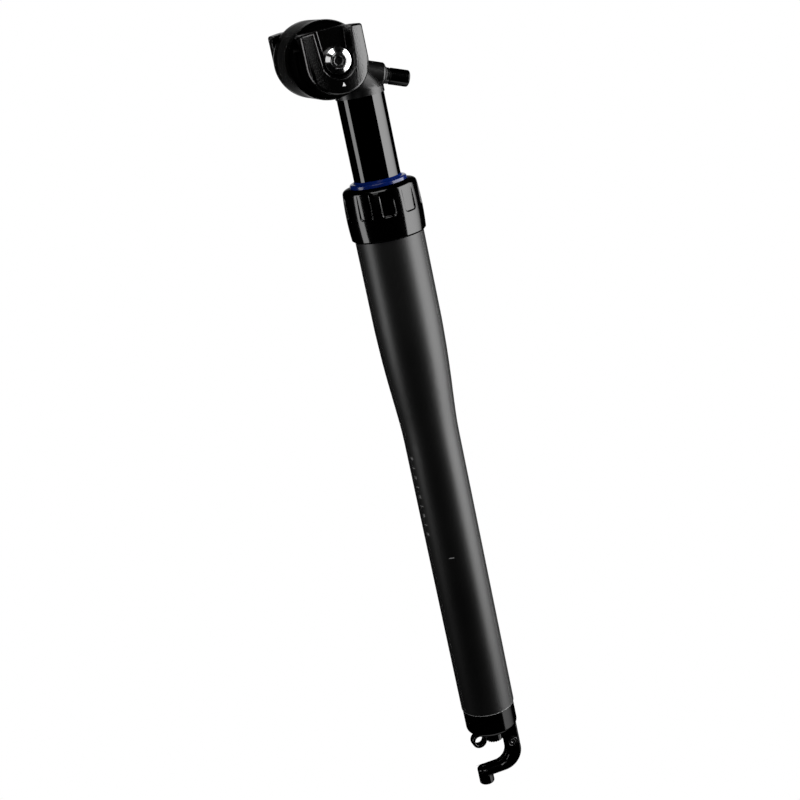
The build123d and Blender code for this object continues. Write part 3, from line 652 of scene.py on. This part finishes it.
def addCollar():
    p = collarShape
    outline = np.vstack([p["foot"], collarOutside(), p["inside"]])
    radius, height = outline[:, :1], outline[:, 1:]
    half = p["width"] / 2
    pitch = np.pi * p["crown"][0] / p["notches"]
    away = half + spread(p["columns"], -half, pitch - half)
    across = np.concatenate([-away[::-1][:-1], away[:-1]])
    notch = np.radians(p["firstTurn"]) + 2 * np.pi * np.arange(p["notches"]) / p["notches"]
    turn = (notch[:, None] + across[None, :] / p["crown"][0]).reshape(1, -1)
    across = np.tile(across, p["notches"])[None, :]
    besideX = np.abs(across) - (half - p["corner"]) + 0 * height
    belowY = p["corner"] - (height - p["bottom"]) + 0 * across
    distance = (np.hypot(np.maximum(besideX, 0), np.maximum(belowY, 0))
                + np.minimum(np.maximum(besideX, belowY), 0) - p["corner"])
    soft = p["sideSoft"] + (p["lowSoft"] - p["sideSoft"]) * np.clip(belowY / p["corner"], 0, 1)
    step = np.clip(0.5 - distance / (2 * soft), 0, 1)
    step = step * step * (3 - 2 * step)
    radius = radius - np.maximum(radius - p["floor"], 0) * step
    turnedPiece("notchedCollar", "collar", radius, height + 0 * turn, turn, p["sharpAngle"])
    print("collar made")


# Scale numbers: each is a thin slab of text, wrapped on the tube. A point's place along the line becomes an
# angle, its place up the line a height, and its depth a radius.

def flatText(text):
    p = tubePrint
    curve = bpy.data.curves.new("number" + text, "FONT")
    curve.body = text
    curve.size = p["numberSize"]
    curve.extrude = p["numberThick"]
    curve.offset = p["numberBold"]
    curve.align_x = "CENTER"
    curve.align_y = "CENTER"
    curve.resolution_u = p["numberSteps"]
    flat = bpy.data.objects.new("flatNumber" + text, curve)
    mesh = bpy.data.meshes.new_from_object(flat)
    bpy.data.objects.remove(flat)
    return mesh


def addNumbers():
    p = tubePrint
    printShade = softShade("scalePrint", printFinish)
    for text, height in p["numbers"].items():
        mesh = flatText(text)
        points = np.empty(len(mesh.vertices) * 3)
        mesh.vertices.foreach_get("co", points)
        along, up, depth = points.reshape(-1, 3).T
        turn = math.radians(p["scaleTurn"]) + along / p["radius"]
        radius = p["radius"] + depth
        points = np.stack([radius * np.cos(turn), radius * np.sin(turn), height * mm + up], -1)
        mesh.vertices.foreach_set("co", points.ravel())
        mesh.materials.clear()
        mesh.materials.append(printShade)
        piece = addObject("scaleNumber" + text, mesh)
        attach(piece, bodyOf["outer_tube"])
    print("scale numbers made")


# Studio: soft boxes beside the post and in front, one above, a pale floor and a white backdrop. A box stands
# round its middle in degrees about the post, from low to high; the top one is aimed at the head.

softBoxes = {
    "right": {"middle": -17.5, "half": 30.5, "low": -0.32, "high": 0.75, "radiance": 5.6},
    "rightFoot": {"middle": -17.5, "half": 30.5, "low": -0.65, "high": -0.33, "radiance": 1.5},
    "left": {"middle": -183.2, "half": 10.3, "low": -0.05, "high": 0.60, "radiance": 3.7},
    "front": {"middle": -119.0, "half": 9.0, "low": 0.32, "high": 0.62, "radiance": 0.9},
}
topBox = {"middle": -112.0, "tilt": 52.0, "width": 0.50, "height": 0.50, "radiance": 2.6,
          "aim": (-0.015, 0.0, 0.33)}
boxDistance = 0.75


def addBox(name, width, height, radiance, turn, tilt, place):
    # area lamp that stands in the direction of its turn and tilt from a place, and shines back at it
    data = bpy.data.lights.new(name + "Box", "AREA")
    data.shape = "RECTANGLE"
    data.size = width
    data.size_y = height
    data.energy = radiance * math.pi * width * height
    obj = addObject(name + "Box", data)
    turn, tilt = math.radians(turn), math.radians(tilt)
    out = Vector((math.cos(turn) * math.cos(tilt), math.sin(turn) * math.cos(tilt), math.sin(tilt)))
    side = Vector((0, 0, 1)).cross(out).normalized()
    stand(obj, Vector(place) + out * boxDistance, side, out.cross(side), out)
    obj.visible_camera = False


def addBoxes():
    for name, p in softBoxes.items():
        width = 2 * boxDistance * math.tan(math.radians(p["half"]))
        middle = (p["low"] + p["high"]) / 2
        addBox(name, width, p["high"] - p["low"], p["radiance"], p["middle"], 0, (0, 0, middle))
    p = topBox
    addBox("top", p["width"], p["height"], p["radiance"], p["middle"], p["tilt"], p["aim"])


def rayKinds(board):
    # 1 on rays from the camera, mirrored rays and rays through glass
    kinds = ("Is Camera Ray", "Is Glossy Ray", "Is Transmission Ray")
    return [board.put("LightPath", {}, {}, kind) for kind in kinds]


# The world is white to the camera. Polished metal sees white only behind the post, and the rest gets the fill.

whiteWorld = {
    "behind": (0.252, 0.968, 0.0),
    "edge": (0.90, 0.985),
    "glow": 0.9,
    "fill": 0.30,
}


def addWorld():
    p = whiteWorld
    world = bpy.data.worlds.new("studio")
    bpy.context.scene.world = world
    world.use_nodes = True
    board = Board(world.node_tree)
    direct, glossy, through = rayKinds(board)
    direction = board.put("TexCoord", {}, {}, "Generated")
    ahead = board.put("VectorMath", {"operation": "DOT_PRODUCT"}, {0: direction, 1: p["behind"]}, "Value")
    backdrop = ahead.ramp(*p["edge"])
    seen = direct + through
    strength = seen + (1 - seen) * (glossy * backdrop * p["glow"] + (1 - glossy) * p["fill"])
    shader = board.put("Background", {}, {"Color": grey(1.0), "Strength": strength})
    board.put("OutputWorld", {}, {"Surface": shader})


# Floor: a flat disc, whose radius grows with the first parameter while the second goes round. It fades to
# white at its rim.

floorDisc = {
    "depth": 0.70,
    "radius": 0.5,
    "rings": 12,
    "spokes": 96,
    "tone": 0.86,
    "white": (0.85, 0.15),
}


def discGrid(radius, rings, spokes):
    u = np.linspace(0, 1, rings + 1)[1:, None]
    turn = np.linspace(0, 2 * np.pi, spokes, endpoint=False)[None, :]
    ringPoints = np.stack([radius * u * np.cos(turn), radius * u * np.sin(turn), 0 * u * turn], -1)
    points = np.vstack([[[0, 0, 0]], ringPoints.reshape(-1, 3)])
    index = 1 + np.arange(rings * spokes).reshape(rings, spokes)
    after = np.roll(index, -1, axis=1)
    quads = np.stack([index[:-1], index[1:], after[1:], after[:-1]], -1).reshape(-1, 4)
    middle = np.stack([np.zeros(spokes, int), index[0], after[0]], -1)
    return points, quads.tolist() + middle.tolist()


def addFloor():
    p = floorDisc
    points, faces = discGrid(p["radius"], p["rings"], p["spokes"])
    points[:, 2] = cadBox[0][2] - p["depth"]
    mesh = bpy.data.meshes.new("floor")
    mesh.from_pydata(points.tolist(), [], faces)
    material, board = shade("paleFloor")
    direct, glossy, through = rayKinds(board)
    seen = (direct + glossy + through).clip()
    matte = board.put("BsdfDiffuse", {}, {"Color": grey(p["tone"])})
    glow = board.put("Emission", {}, {"Color": grey(1.0), "Strength": 1.0})
    far = board.put("VectorMath", {"operation": "LENGTH"}, {0: board.place()}, "Value")
    rim = far.ramp(p["depth"], math.hypot(p["depth"], p["radius"]))
    white, more = p["white"]
    mixed = board.put("MixShader", {}, {0: seen * (white + more * rim), 1: matte, 2: glow})
    board.put("OutputMaterial", {}, {"Surface": mixed})
    mesh.materials.append(material)
    addObject("floor", mesh)


addCamera()
dressNodes()
addNumbers()
addWiper()
addCollar()
for name in brokenEdges:
    breakEdges(name)
print("edges broken")
addBoxes()
addWorld()
addFloor()
bpy.context.scene.view_settings.view_transform = "Standard"
print("studio ready")
